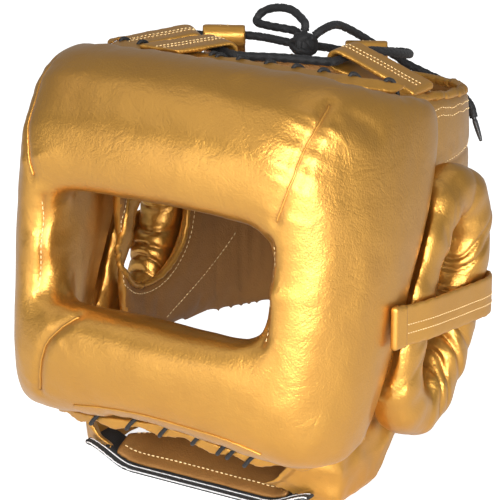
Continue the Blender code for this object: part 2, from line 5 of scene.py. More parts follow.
import bmesh
import bpy
from bpy.props import FloatProperty, FloatVectorProperty, PointerProperty
from mathutils import Matrix, Vector, noise
from mathutils.bvhtree import BVHTree
from mathutils.kdtree import KDTree


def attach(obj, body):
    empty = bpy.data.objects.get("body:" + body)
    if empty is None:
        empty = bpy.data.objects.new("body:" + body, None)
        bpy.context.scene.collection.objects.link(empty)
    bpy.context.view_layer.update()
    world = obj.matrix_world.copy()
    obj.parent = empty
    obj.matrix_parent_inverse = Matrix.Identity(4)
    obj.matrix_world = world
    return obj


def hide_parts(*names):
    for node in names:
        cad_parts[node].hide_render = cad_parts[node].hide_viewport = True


bl_info = {
    "name": "Head guard dressing",
    "version": (1, 0, 0),
    "blender": (4, 5, 0),
    "location": "3D View > Sidebar > Head guard",
    "description": "Leather, seams, lacing and cord over the packed head guard",
    "category": "Add Mesh",
}

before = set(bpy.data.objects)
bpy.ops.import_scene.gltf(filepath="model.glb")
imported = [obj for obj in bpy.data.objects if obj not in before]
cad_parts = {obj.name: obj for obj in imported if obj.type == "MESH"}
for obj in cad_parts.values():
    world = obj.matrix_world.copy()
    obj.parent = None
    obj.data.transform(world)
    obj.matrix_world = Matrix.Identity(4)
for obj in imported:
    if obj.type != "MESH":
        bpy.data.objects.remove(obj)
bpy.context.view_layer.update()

# Camera: the photograph's angle, 33 degrees to the wearer's left and 18 degrees above
CAMERA_TARGET = Vector((0.0, -0.019, 0.129))
CAMERA_WAY = Vector((0.518, -0.798, 0.309))
CAMERA_DISTANCE = 1.5
CAMERA_LENS = 186.0
SENSOR_WIDTH = 36.0
PHOTO_SIZE = 500

DOWN = Vector((0, 0, -1))
MERGE = 0.00001
CLEARANCE = 0.0003

# Seams on the bumper, in pixels of the photograph
CHEEK_SEAM = ((331, 103), (318, 127), (306, 148), (295, 175), (282, 204), (274, 224))
BAR_PIPING = ((74, 405), (105, 408), (143, 415), (185, 427), (224, 439), (262, 455))
CORNER_SEAM = ((78, 314), (58, 328), (44, 344), (38, 366), (38, 392))
PANEL_SEAM = ((236, 232), (222, 252), (204, 275), (184, 298), (166, 318))
# The lacing's places under the face bar, in pixels of the photograph
BAR_LACES = ((95, 419), (131, 424), (164, 431), (197, 439), (222, 449), (249, 461))
PILLAR_SEAM_X = 0.0745
PILLAR_SEAM_Z = (0.119, 0.173)

# Where the head's hollow is, which the wall's stitch rows run round
SHELL_MIDDLE = Vector((0.0, 0.027, 0.0))
EAR_HOLE_MIDDLE = Vector((0.0, -0.002, 0.128))
EAR_HOLE_HALF = (0.040, 0.038)

# Ear pads: middle of the slit and lean of the long axis, seen from the side
PAD_MIDDLE = Vector((0.0, 0.010, 0.110))
PAD_LEAN = math.radians(24)
PAD_HALF = (0.047, 0.0815)
PAD_FOLDS = 13

EAR_TAB_LENGTH = 0.008
STRAP_LANES = (-0.0022, 0.0022)
EAR_STRAP_LINE = ((-0.056, 0.1150), (0.084, 0.1010))

# Crown loops: middle of the sewn end, then of the fold that holds the cord
LOOPS = {
    "crown_loop_1": ((-0.038, -0.062, 0.250), (-0.019, -0.023, 0.247)),
    "crown_loop_2": ((-0.080, -0.038, 0.243), (-0.050, -0.006, 0.245)),
    "crown_loop_3": ((-0.083, 0.080, 0.2165), (-0.068, 0.057, 0.233)),
    "crown_loop_4": ((-0.010, 0.1275, 0.2095), (0.002, 0.108, 0.222)),
    "crown_loop_5": ((0.084, 0.028, 0.2265), (0.037, 0.026, 0.240)),
}

# The knot, and the way that each cord leaves it
KNOT_PLACE = (-0.017, 0.066, 0.232)
KNOT_DIAMETER = 0.016
CROWN_EXITS = ((-1.00, -0.05, 0.02), (0.20, 0.95, -0.25))
BOW_EXITS = ((-0.10, 0.30, 0.95), (-0.75, 0.45, 0.50))
TAIL_EXITS = ((0.55, 0.60, 0.60),)

# The cord's route round the crown, through the folds of the five loops
CROWN_CORD_ROUTE = (
    (-0.0440, 0.0655, 0.2330), (-0.0570, 0.0640, 0.2330), (-0.0680, 0.0570, 0.2330),
    (-0.0790, 0.0500, 0.2332), (-0.0845, 0.0430, 0.2345), (-0.0830, 0.0340, 0.2365),
    (-0.0760, 0.0220, 0.2395), (-0.0680, 0.0115, 0.2430), (-0.0595, 0.0029, 0.2450),
    (-0.0500, -0.0060, 0.2450), (-0.0405, -0.0145, 0.2452), (-0.0360, -0.0162, 0.2461),
    (-0.0307, -0.0173, 0.2469), (-0.0190, -0.0230, 0.2470), (-0.0073, -0.0287, 0.2470),
    (-0.0010, -0.0293, 0.2468), (0.0040, -0.0245, 0.2460), (0.0150, -0.0120, 0.2443),
    (0.0270, 0.0000, 0.2420), (0.0350, 0.0080, 0.2405), (0.0374, 0.0130, 0.2400),
    (0.0370, 0.0260, 0.2400), (0.0364, 0.0385, 0.2400), (0.0390, 0.0520, 0.2385),
    (0.0405, 0.0690, 0.2345), (0.0380, 0.0890, 0.2290), (0.0320, 0.1080, 0.2240),
    (0.0235, 0.1180, 0.2222), (0.0130, 0.1148, 0.2220), (0.0020, 0.1080, 0.2220),
    (-0.0090, 0.1010, 0.2222), (-0.0150, 0.0920, 0.2250),
)
BOW_ROUTE = (
    (-0.0220, 0.0720, 0.2460), (-0.0320, 0.0760, 0.2495), (-0.0440, 0.0780, 0.2490),
    (-0.0540, 0.0780, 0.2450), (-0.0560, 0.0750, 0.2395), (-0.0460, 0.0730, 0.2385),
    (-0.0350, 0.0720, 0.2385),
)
TAIL_ROUTE = (
    (-0.0090, 0.0820, 0.2410), (-0.0100, 0.0940, 0.2395), (-0.0090, 0.1060, 0.2345),
    (-0.0060, 0.1170, 0.2280), (-0.0030, 0.1260, 0.2220), (0.0000, 0.1335, 0.2175),
    (0.0050, 0.1380, 0.2135), (0.0140, 0.1385, 0.2090), (0.0280, 0.1380, 0.2050),
    (0.0420, 0.1365, 0.2015), (0.0530, 0.1345, 0.1970), (0.0610, 0.1325, 0.1915),
    (0.0645, 0.1315, 0.1840),
)
AGLET_LENGTH = 0.015
TIP_OVERLAP = 0.002
TIP_RADIUS = 0.0017

# The white lines of the chin strap: distances from the middle, half length and thickness
CHIN_LINES = (-0.0787, -0.0746)
CHIN_LINE_REACH = 0.0765
CHIN_LINE_RADIUS = 0.00045

# Heights of the shell's quilting seam and of the stitch rows beside it
SHELL_SEAM = 0.176
SHELL_ROWS = (0.1735, 0.1785)
RIM_ROWS = (0.005, 0.0095)

# How brightly the floor shows to the camera, and how bright the room is
FLOOR_GLOW = 0.75
ROOM_LIGHT = 0.31

# Each light: name, place, what it points at, size and power in watts
LIGHTS = (
    ("right", (1.20, -1.50, 0.50), CAMERA_TARGET, (1.0, 0.7), 13.0),
    ("far right", (1.9, -0.9, 0.45), CAMERA_TARGET, (0.8, 0.8), 32.0),
    ("front", (-0.50, -1.6, 0.30), CAMERA_TARGET, (1.2, 0.5), 3.6),
    ("upper left", (-1.0, -1.0, 1.6), CAMERA_TARGET, (1.2, 1.0), 2.4),
    ("top", (0.2, 0.4, 2.2), CAMERA_TARGET, (1.2, 1.2), 2.0),
    ("front floor", (0.45, -1.35, 0.80), (0.35, -0.95, 0.0), (1.0, 0.6), 24.0),
)

# Cloth simulation: its frames, and the farthest step between two points of one row
PUFF_FRAMES = 20
ROW_BREAK = 0.012
STRAP_PITCH = 0.0024
THIN_THREAD = 0.0006


class GuardSizes(bpy.types.PropertyGroup):
    """Sizes of the leatherwork."""

    cover_step: FloatProperty(
        name="Cover step", description="Mesh step of the padded covers",
        default=0.0038, min=0.002, unit="LENGTH")
    strap_step: FloatProperty(
        name="Strap step", description="Mesh step of straps, flaps and hems",
        default=0.0011, min=0.0005, unit="LENGTH")
    puff: FloatProperty(
        name="Puff", description="How far a cover may swell between its seams",
        default=0.0040, min=0.0, unit="LENGTH")
    seam_depth: FloatProperty(
        name="Seam depth", description="How far a seam sinks into the padding",
        default=0.0016, min=0.0, unit="LENGTH")
    seam_width: FloatProperty(
        name="Seam width", description="Half width of the valley along a seam",
        default=0.0034, min=0.001, unit="LENGTH")
    pucker: FloatProperty(
        name="Pucker", description="Height of the small gathers beside a seam",
        default=0.0009, min=0.0, unit="LENGTH")
    stitch_pitch: FloatProperty(
        name="Stitch pitch", description="Distance from stitch to stitch",
        default=0.0032, min=0.001, unit="LENGTH")
    stitch_width: FloatProperty(
        name="Thread", description="Thickness of the sewing thread",
        default=0.0008, min=0.0003, unit="LENGTH")
    piping: FloatProperty(
        name="Piping", description="Thickness of the folded piping along seams and edges",
        default=0.0012, min=0.0005, unit="LENGTH")
    cord: FloatProperty(
        name="Cord", description="Diameter of the braided crown cord",
        default=0.005, min=0.002, unit="LENGTH")
    lace: FloatProperty(
        name="Lace", description="Diameter of the lacing along the hems",
        default=0.0024, min=0.001, unit="LENGTH")


class GuardColours(bpy.types.PropertyGroup):
    """Colours of the leather, thread, cord and floor."""

    gold: FloatVectorProperty(
        name="Gold", description="Lit side of the metallic leather", subtype="COLOR",
        size=4, default=(0.62, 0.315, 0.055, 1.0), min=0, max=1)
    # Rubbed patches of real wear, and painted shade along seam valleys and in the ear pads' gathers
    gold_worn_and_shaded: FloatVectorProperty(
        name="Gold in folds", description="Worn and folded places of the leather",
        subtype="COLOR", size=4, default=(0.34, 0.15, 0.028, 1.0), min=0, max=1)
    # Painted shade: the faces turned into the shell and the chin pad take this darker brown in place
    # of the gold
    lining_in_shade: FloatVectorProperty(
        name="Lining", description="Leather that faces the head", subtype="COLOR",
        size=4, default=(0.36, 0.17, 0.045, 1.0), min=0, max=1)
    thread: FloatVectorProperty(
        name="Thread", description="Sewing thread", subtype="COLOR",
        size=4, default=(0.72, 0.52, 0.26, 1.0), min=0, max=1)
    cord: FloatVectorProperty(
        name="Cord", description="Braided cord and lacing", subtype="COLOR",
        size=4, default=(0.003, 0.0029, 0.0034, 1.0), min=0, max=1)
    webbing: FloatVectorProperty(
        name="Webbing", description="Elastic webbing", subtype="COLOR",
        size=4, default=(0.006, 0.006, 0.0065, 1.0), min=0, max=1)
    floor: FloatVectorProperty(
        name="Floor", description="Floor and surroundings", subtype="COLOR",
        size=4, default=(0.93, 0.93, 0.93, 1.0), min=0, max=1)


def sizes():
    """The sizes set in the sidebar."""
    return bpy.context.scene.guard_sizes


def colours():
    """The colours set in the sidebar."""
    return bpy.context.scene.guard_colours


# Nodes and materials
def put(tree, kind, inputs=None, **settings):
    """Add a node; a socket given for an input is linked, another value is set on it."""
    made = tree.nodes.new(kind)
    for key, value in settings.items():
        setattr(made, key, value)
    for key, value in (inputs or {}).items():
        if isinstance(value, bpy.types.NodeSocket):
            tree.links.new(value, made.inputs[key])
        else:
            made.inputs[key].default_value = value
    return made


def reckon(tree, operation, *values):
    """Output of one Math node over sockets or numbers."""
    return put(tree, "ShaderNodeMath", dict(enumerate(values)), operation=operation).outputs[0]


def blend_colours(tree, share, first, second):
    """Output of one colour mix."""
    mixed = put(tree, "ShaderNodeMix", {0: share, 6: first, 7: second}, data_type="RGBA")
    return mixed.outputs[2]


def object_place(tree):
    """Object coordinates, in metres."""
    return put(tree, "ShaderNodeTexCoord").outputs["Object"]


def effect_group(name, inputs, output):
    """An empty group with number sockets and its two ends, or the group made before."""
    if name in bpy.data.node_groups:
        return bpy.data.node_groups[name], None, None
    group = bpy.data.node_groups.new(name, "ShaderNodeTree")
    for label, default in inputs.items():
        socket = group.interface.new_socket(label, in_out="INPUT", socket_type="NodeSocketFloat")
        socket.default_value = default
    group.interface.new_socket(output, in_out="OUTPUT", socket_type="NodeSocketFloat")
    return group, group.nodes.new("NodeGroupInput"), group.nodes.new("NodeGroupOutput")


def grain_group():
    """Pebbled grain of leather with fine pores, as a height."""
    group, start, end = effect_group("leather grain", {"Scale": 900.0}, "Height")
    if start is None:
        return group
    place = object_place(group)
    cells = put(group, "ShaderNodeTexVoronoi", {"Vector": place, "Scale": start.outputs["Scale"]},
                feature="SMOOTH_F1")
    pores = put(group, "ShaderNodeTexNoise", {
        "Vector": place, "Scale": reckon(group, "MULTIPLY", start.outputs["Scale"], 0.45),
        "Detail": 4.0, "Roughness": 0.6})
    height = reckon(group, "ADD", cells.outputs["Distance"], pores.outputs["Fac"])
    group.links.new(height, end.inputs["Height"])
    return group


def crease_group():
    """Soft creases that leather takes over padding, as a height."""
    group, start, end = effect_group("soft creases", {"Scale": 60.0}, "Height")
    if start is None:
        return group
    place = object_place(group)
    waves = put(group, "ShaderNodeTexNoise", {
        "Vector": place, "Scale": start.outputs["Scale"], "Detail": 5.0, "Roughness": 0.55,
        "Distortion": 1.2})
    ridge = reckon(group, "ABSOLUTE", reckon(group, "SUBTRACT", waves.outputs["Fac"], 0.5))
    group.links.new(reckon(group, "POWER", ridge, 0.7), end.inputs["Height"])
    return group


def wear_group():
    """Patchy rubbing of the finish, as a mask."""
    group, start, end = effect_group("rubbed finish", {"Scale": 22.0, "Spread": 0.5}, "Mask")
    if start is None:
        return group
    patches = put(group, "ShaderNodeTexNoise", {
        "Vector": object_place(group), "Scale": start.outputs["Scale"], "Detail": 6.0,
        "Roughness": 0.62})
    raised = reckon(group, "SUBTRACT", patches.outputs["Fac"], 0.5)
    spread = reckon(group, "DIVIDE", raised, start.outputs["Spread"])
    mask = put(group, "ShaderNodeMath", {0: spread, 1: 0.5}, operation="ADD", use_clamp=True)
    group.links.new(mask.outputs[0], end.inputs["Mask"])
    return group


def weave_group():
    """Ribs of woven webbing and the threads across them, as a height."""
    group, start, end = effect_group("ribbed weave", {"Pitch": 0.0012}, "Height")
    if start is None:
        return group
    place = put(group, "ShaderNodeSeparateXYZ", {"Vector": object_place(group)})
    turn = reckon(group, "DIVIDE", 2 * math.pi, start.outputs["Pitch"])
    ribs = reckon(group, "SINE", reckon(group, "MULTIPLY", place.outputs["X"], turn))
    across = reckon(group, "ADD", place.outputs["Y"], place.outputs["Z"])
    threads = reckon(group, "SINE", reckon(group, "MULTIPLY", across, turn))
    product = reckon(group, "MULTIPLY", ribs, threads)
    group.links.new(reckon(group, "ADD", reckon(group, "ABSOLUTE", ribs), product),
                    end.inputs["Height"])
    return group


def shader(name):
    """A new material, its node tree and its Principled shader."""
    material = bpy.data.materials.new(name)
    material.use_nodes = True
    tree = material.node_tree
    return material, tree, tree.nodes["Principled BSDF"]


def leather(name, lit, shade, metallic, roughness, coat=0.25, grain=900.0, depth=0.00022,
            creases=0.0007):
    """Grained leather, darker and duller where its finish is rubbed, with painted shade along seams
    and in gathers.
    """
    if name in bpy.data.materials:
        return bpy.data.materials[name]
    material, tree, principled = shader(name)
    wear = put(tree, "ShaderNodeGroup", node_tree=wear_group())
    worn = reckon(tree, "MULTIPLY", wear.outputs["Mask"], 0.35)
    # The seam attribute is painted shade: darker along seam valleys and in the ear pads' gathers;
    # the rubbed patches are real wear
    seam = put(tree, "ShaderNodeAttribute", attribute_name="seam").outputs["Fac"]
    folds = put(tree, "ShaderNodeMath", {0: worn, 1: reckon(tree, "MULTIPLY", seam, 0.7)},
                operation="ADD", use_clamp=True).outputs[0]
    tree.links.new(blend_colours(tree, folds, lit, shade), principled.inputs["Base Color"])
    dulled = reckon(tree, "MULTIPLY", folds, 0.22)
    tree.links.new(reckon(tree, "ADD", dulled, roughness), principled.inputs["Roughness"])
    grains = put(tree, "ShaderNodeGroup", {"Scale": grain}, node_tree=grain_group())
    soft = put(tree, "ShaderNodeGroup", {"Scale": 55.0}, node_tree=crease_group())
    fine = put(tree, "ShaderNodeBump", {
        "Height": grains.outputs["Height"], "Distance": depth, "Strength": 0.5})
    wide = put(tree, "ShaderNodeBump", {
        "Height": soft.outputs["Height"], "Distance": creases, "Strength": 0.5,
        "Normal": fine.outputs["Normal"]})
    tree.links.new(wide.outputs["Normal"], principled.inputs["Normal"])
    principled.inputs["Metallic"].default_value = metallic
    principled.inputs["Coat Weight"].default_value = coat
    principled.inputs["Coat Roughness"].default_value = 0.3
    return material


def gold_leather():
    """Metallic gold leather of the covers."""
    return leather("gold leather", colours().gold, colours().gold_worn_and_shaded, 0.9, 0.32, 0.4)


def strap_leather():
    """The same leather, cut as straps and bindings, a little duller."""
    return leather("gold strap leather", colours().gold, colours().gold_worn_and_shaded, 0.80, 0.38,
                   grain=1200.0, depth=0.00016, creases=0.0004)


def shaded_lining_leather():
    """Duller, browner copy of the leather on the shell's inner faces and the chin pad, its darker
    colour painted shade.
    """
    return leather("brown lining", colours().lining_in_shade, (0.10, 0.038, 0.010, 1.0), 0.55, 0.50,
                   coat=0.05, grain=1100.0, depth=0.0003, creases=0.0009)


def dull_material(name):
    """Thread, cord, webbing, yarn or plastic, with its own relief and colour variation."""
    if name in bpy.data.materials:
        return bpy.data.materials[name]
    base, roughness, group, label, amount, depth = {
        "sewing thread": (colours().thread, 0.55, grain_group, "Scale", 2600.0, 0.0002),
        "braided cord": (colours().cord, 0.62, grain_group, "Scale", 2200.0, 0.0003),
        "elastic webbing": (colours().webbing, 0.7, weave_group, "Pitch", 0.0012, 0.0004),
        "white yarn": ((0.80, 0.80, 0.82, 1.0), 0.7, weave_group, "Pitch", 0.0009, 0.0003),
        "cord tip": ((0.015, 0.015, 0.016, 1.0), 0.35, grain_group, "Scale", 700.0, 0.00008),
    }[name]
    material, tree, principled = shader(name)
    relief = put(tree, "ShaderNodeGroup", {label: amount}, node_tree=group())
    wear = put(tree, "ShaderNodeGroup", {"Scale": 160.0}, node_tree=wear_group())
    paler = [min(1.0, 1.5 * c + 0.003) for c in base[:3]] + [1.0]
    tree.links.new(blend_colours(tree, wear.outputs["Mask"], base, paler),
                   principled.inputs["Base Color"])
    bump = put(tree, "ShaderNodeBump", {
        "Height": relief.outputs["Height"], "Distance": depth, "Strength": 0.8})
    tree.links.new(bump.outputs["Normal"], principled.inputs["Normal"])
    principled.inputs["Roughness"].default_value = roughness
    principled.inputs["Sheen Weight"].default_value = 0.04
    return material


# Meshes
def add_piece(name, bm, material, nodes=()):
    """Finish a piece: smooth, coloured, riding on the guard, standing for its CAD nodes."""
    piece = placed(name, bm)
    for face in piece.data.polygons:
        face.use_smooth = True
    piece.data.materials.append(material)
    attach(piece, "root")
    if nodes:
        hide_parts(*nodes)
    return piece


def merged_copy(*nodes):
    """A mesh of CAD nodes with their loose triangles joined."""
    bm = bmesh.new()
    for node in nodes:
        bm.from_mesh(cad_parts[node].data)
    bmesh.ops.remove_doubles(bm, verts=bm.verts, dist=MERGE)
    return bm


def placed(name, bm):
    """An object in the scene that takes the mesh over."""
    mesh = bpy.data.meshes.new(name)
    bm.to_mesh(mesh)
    bm.free()
    made = bpy.data.objects.new(name, mesh)
    bpy.context.scene.collection.objects.link(made)
    return made


def taken_back(carrier):
    """The mesh of an object after its modifiers; the object is removed."""
    out = bmesh.new()
    shaped = carrier.evaluated_get(bpy.context.evaluated_depsgraph_get())
    out.from_mesh(shaped.to_mesh())
    shaped.to_mesh_clear()
    mesh = carrier.data
    bpy.data.objects.remove(carrier, do_unlink=True)
    bpy.data.meshes.remove(mesh)
    return out


def through_modifier(bm, kind, **settings):
    """The mesh after one modifier."""
    carrier = placed("working", bm)
    modifier = carrier.modifiers.new("step", kind)
    for key, value in settings.items():
        setattr(modifier, key, value)
    return taken_back(carrier)


def evened(bm, step, rounds):
    """The same form in even small faces, with its corners softened."""
    bm = through_modifier(bm, "REMESH", mode="VOXEL", voxel_size=step)
    for _ in range(rounds):
        bmesh.ops.smooth_vert(bm, verts=bm.verts, factor=0.5, use_axis_x=True,
                              use_axis_y=True, use_axis_z=True)
    bm.normal_update()
    return bm


def swell(bm, amount):
    """Move every point along its normal; amount is a length or a function of the point."""
    bm.normal_update()
    moves = [vert.normal * (amount(vert) if callable(amount) else amount) for vert in bm.verts]
    for vert, move in zip(bm.verts, moves):
        vert.co += move
    bm.normal_update()


def painted_shade_layer(bm):
    """The attribute that paints shade into the leather along its seams and in the ear pads' gathers.
    """
    return bm.verts.layers.float.get("seam") or bm.verts.layers.float.new("seam")


def finer(bm):
    """One smooth subdivision."""
    return through_modifier(bm, "SUBSURF", levels=1, render_levels=1)


def route_tree(routes, step=0.001):
    """Search tree over routes, with each point's distance along its route."""
    spots = []
    for number, route in enumerate(routes):
        run = 0.0
        for spot in even_route(route, step):
            spots.append((spot, run + 10.0 * number))
            run += step
    tree = KDTree(len(spots))
    for index, (spot, _) in enumerate(spots):
        tree.insert(spot, index)
    tree.balance()
    return tree, spots


def near_route(tree, spots, point):
    """Distance to the nearest route and how far along it that is."""
    _, index, distance = tree.find(point)
    return distance, spots[index][1]


def puffed(bm, name, held, limit, pressure=4.0):
    """Blow a cover up by cloth simulation, held where held(point) is true."""
    carrier = placed(name, bm)
    rest = [vert.co.copy() for vert in carrier.data.vertices]
    pins = carrier.vertex_groups.new(name="sewn")
    pins.add([i for i, spot in enumerate(rest) if held(spot)], 1.0, "REPLACE")
    cloth = carrier.modifiers.new("puff", "CLOTH")
    cloth.settings.use_pressure = True
    cloth.settings.uniform_pressure_force = pressure
    cloth.settings.vertex_group_mass = "sewn"
    cloth.settings.effector_weights.gravity = 0
    cloth.settings.quality = 4
    cloth.point_cache.frame_start = 1
    cloth.point_cache.frame_end = PUFF_FRAMES
    scene = bpy.context.scene
    for number in range(1, PUFF_FRAMES + 1):
        scene.frame_set(number)
    out = taken_back(carrier)
    scene.frame_set(1)
    for vert, spot in zip(out.verts, rest):
        move = vert.co - spot
        if move.length > limit:
            vert.co = spot + move * (limit / move.length)
    out.normal_update()
    return out


def sewn(bm, routes, depth, width, pucker, pitch=0.006):
    """Sink the leather along its seams, pucker it beside them and paint shade into the valley."""
    tree, spots = route_tree(routes)
    shade_layer = painted_shade_layer(bm)

    def rise(vert):
        distance, run = near_route(tree, spots, vert.co)
        valley = math.exp(-(distance / width) ** 2)
        beside = math.exp(-(distance / (4 * width)) ** 2) * (1 - valley)
        wave = noise.noise(Vector((run / pitch, run * 3.0, 0.5)))
        # Painted shade in the seam's valley
        vert[shade_layer] = max(vert[shade_layer], math.exp(-(distance / (0.45 * width)) ** 2))
        return pucker * beside * wave - depth * valley

    swell(bm, rise)


def creased(bm, height, size, seed=0.0):
    """Low soft unevenness over the whole cover."""
    swell(bm, lambda vert: height * noise.noise(vert.co / size + Vector((seed, seed, seed))))


def dressed(name, rounds, height, size, seed):
    """A flat leather piece in its CAD node's place, with soft unevenness."""
    bm = evened(merged_copy(name), sizes().strap_step, rounds)
    creased(bm, height, size, seed)
    return add_piece(name + "_leather", bm, strap_leather(), (name,))


# Places
def camera_place():
    """The camera's matrix."""
    spot = CAMERA_TARGET + CAMERA_WAY.normalized() * CAMERA_DISTANCE
    turn = (CAMERA_TARGET - spot).to_track_quat("-Z", "Y")
    return Matrix.Translation(spot) @ turn.to_matrix().to_4x4()


def photo_ray(pixel):
    """Start and way of the camera's ray through a pixel of the photograph."""
    place = camera_place()
    across = (pixel[0] - PHOTO_SIZE / 2) / PHOTO_SIZE * SENSOR_WIDTH
    up = (PHOTO_SIZE / 2 - pixel[1]) / PHOTO_SIZE * SENSOR_WIDTH
    way = place.to_3x3() @ Vector((across, up, -CAMERA_LENS))
    return place.translation, way.normalized()


def surface(bm):
    """Search tree over a mesh."""
    return BVHTree.FromBMesh(bm)


def piece_surface(*names):
    """Search tree over finished pieces."""
    bm = bmesh.new()
    for name in names:
        bm.from_mesh(bpy.data.objects[name].data)
    tree = BVHTree.FromBMesh(bm)
    bm.free()
    return tree


def struck(tree, starts, way):
    """Where rays of one way from many starts meet the surface; misses are left out."""
    hits = [tree.ray_cast(start, Vector(way))[0] for start in starts]
    return [hit for hit in hits if hit is not None]


def from_photo(tree, pixels):
    """Points of the surface under a line of pixels."""
    rays = [photo_ray(pixel) for pixel in spline_points([Vector((*p, 0)) for p in pixels], 24)]
    hits = [tree.ray_cast(start, way)[0] for start, way in rays]
    return [hit for hit in hits if hit is not None]


def snapped(tree, points):
    """The nearest surface point to each point."""
    return [tree.find_nearest(point)[0] for point in points]


def mirrored(points):
    """The same points on the wearer's other side."""
    return [Vector((-p.x, p.y, p.z)) for p in points]


def both_sides(tree, points):
    """A route and its twin on the other side."""
    return [points, snapped(tree, mirrored(points))]


def spline_points(points, count):
    """Points at even steps along a Catmull-Rom curve through the given ones."""
    last = len(points) - 1
    out = []
    for step in range(count):
        position = last * step / (count - 1)
        index = min(int(position), last - 1)
        share = position - index
        picked = [points[min(max(index + near, 0), last)] for near in (-1, 0, 1, 2)]
        a, b, c, d = [Vector(p) for p in picked]
        bend = (2 * a - 5 * b + 4 * c - d) * share ** 2 + (3 * b - a - 3 * c + d) * share ** 3
        out.append(b + 0.5 * ((c - a) * share + bend))
    return out


def route_length(route):
    """Length of a line of points."""
    return sum((b - a).length for a, b in zip(route, route[1:]))


def even_route(route, step):
    """Points a step apart along a line of points."""
    out = [route[0].copy()]
    left = step
    for a, b in zip(route, route[1:]):
        span = (b - a).length
        while span >= left and span > 0:
            a = a + (b - a) * (left / span)
            out.append(a.copy())
            span = (b - a).length
            left = step
        left -= span
    return out


def raised(tree, route, height):
    """The route lifted off the surface."""
    out = []
    for point in route:
        spot, normal, _, _ = tree.find_nearest(point)
        out.append(spot + normal * height)
    return out


def joined(bm, part):
    """Add a small mesh to a larger one."""
    mesh = bpy.data.meshes.new("joining")
    part.to_mesh(mesh)
    part.free()
    bm.from_mesh(mesh)
    bpy.data.meshes.remove(mesh)


def tube(whole, route, radius, around=8, relief=None):
    """A round tube along a route, closed at both ends; relief(run, turn) adds to its radius."""
    bm = bmesh.new()
    count = len(route)
    runs = [route[min(i + 1, count - 1)] - route[max(i - 1, 0)] for i in range(count)]
    side = runs[0].orthogonal().normalized()
    frames, run = [], 0.0
    for index, (spot, way) in enumerate(zip(route, runs)):
        way = way.normalized()
        side = (side - way * side.dot(way)).normalized()
        if index:
            run += (spot - route[index - 1]).length
        frames.append((spot, side.copy(), way.cross(side), run))
    bmesh.ops.create_grid(bm, x_segments=count - 1, y_segments=around, size=0.5)
    for vert in bm.verts:
        spot, right, up, run = frames[round((vert.co.x + 0.5) * (count - 1))]
        turn = (vert.co.y + 0.5) * math.tau
        reach = radius + (relief(run, turn) if relief else 0.0)
        vert.co = spot + (right * math.cos(turn) + up * math.sin(turn)) * reach
    bmesh.ops.remove_doubles(bm, verts=bm.verts, dist=MERGE / 10)
    edges = [edge for edge in bm.edges if edge.is_boundary]
    bmesh.ops.holes_fill(bm, edges=edges, sides=0)
    bm.normal_update()
    bmesh.ops.recalc_face_normals(bm, faces=bm.faces)
    joined(whole, bm)


def stitch_row(whole, tree, route, pitch, length, width):
    """Separate stitches along a route, lying on the surface."""
    bm = bmesh.new()
    line = even_route(route, pitch)
    for a, b in zip(line, line[1:]):
        spot, normal, _, _ = tree.find_nearest((a + b) / 2)
        run = (b - a).normalized()
        side = normal.cross(run).normalized()
        run = side.cross(normal)
        place = Matrix.Identity(4)
        columns = (side * width / 2, normal * width * 0.45, run * length / 2)
        for index, column in enumerate(columns):
            for row in range(3):
                place[row][index] = column[row]
        place.translation = spot + normal * width * 0.15
        bmesh.ops.create_uvsphere(bm, u_segments=6, v_segments=4, radius=1.0, matrix=place)
    joined(whole, bm)


def sew_rows(name, surfaces, routes, pitch=None, width=None):
    """One piece with all the stitches of a group of rows."""
    pitch = pitch or sizes().stitch_pitch
    width = width or sizes().stitch_width
    tree = piece_surface(*surfaces)
    bm = bmesh.new()
    for route in routes:
        if len(route) > 1:
            stitch_row(bm, tree, route, pitch, pitch * 0.72, width)
    return add_piece(name, bm, dull_material("sewing thread"))


def piping(name, surfaces, routes, thickness=None, material=None):
    """Rounded piping along routes on finished pieces."""
    thickness = thickness or sizes().piping
    tree = piece_surface(*surfaces)
    bm = bmesh.new()
    for route in routes:
        line = even_route(route, 0.0015)
        if len(line) > 2:
            line = raised(tree, line, thickness * 0.15)
            tube(bm, line, thickness / 2, 8,
                 lambda run, turn: 0.06 * thickness * math.sin(run / 0.0016 * math.pi))
    return add_piece(name, bm, material or strap_leather())


def braid(diameter):
    """Relief of a braid: two sets of strands that pass over and under each other."""
    strands, lay = 8, 1.9 * diameter

    def relief(run, turn):
        forward = strands / 2 * turn + math.tau * run / lay * 1.5
        backward = strands / 2 * turn - math.tau * run / lay * 1.5
        over = math.sin(forward) * math.sin(backward) > 0
        crown = abs(math.cos(forward / 2)) if over else abs(math.cos(backward / 2))
        return diameter * 0.11 * (crown - 0.75)

    return relief


def cord_route(route, exits):
    """A route square to the knot at the ends where it meets it."""
    out = [Vector(point) for point in route]
    for exit_way, first in zip(exits, (True, False)):
        way = Vector(exit_way).normalized()
        rim = Vector(KNOT_PLACE) + way * (KNOT_DIAMETER / 2 + CLEARANCE)
        ends = [rim, rim + way * sizes().cord * 0.8]
        out = ends + out if first else out + ends[::-1]
    return out


def braided(name, route):
    """A braided cord along a route, in its CAD node's place."""
    count = round(route_length(route) / 0.0007)
    line = spline_points(route, count)
    bm = bmesh.new()
    diameter = sizes().cord
    tube(bm, line, diameter / 2, 20, braid(diameter))
    return add_piece(name + "_braid", bm, dull_material("braided cord"), (name,)), line


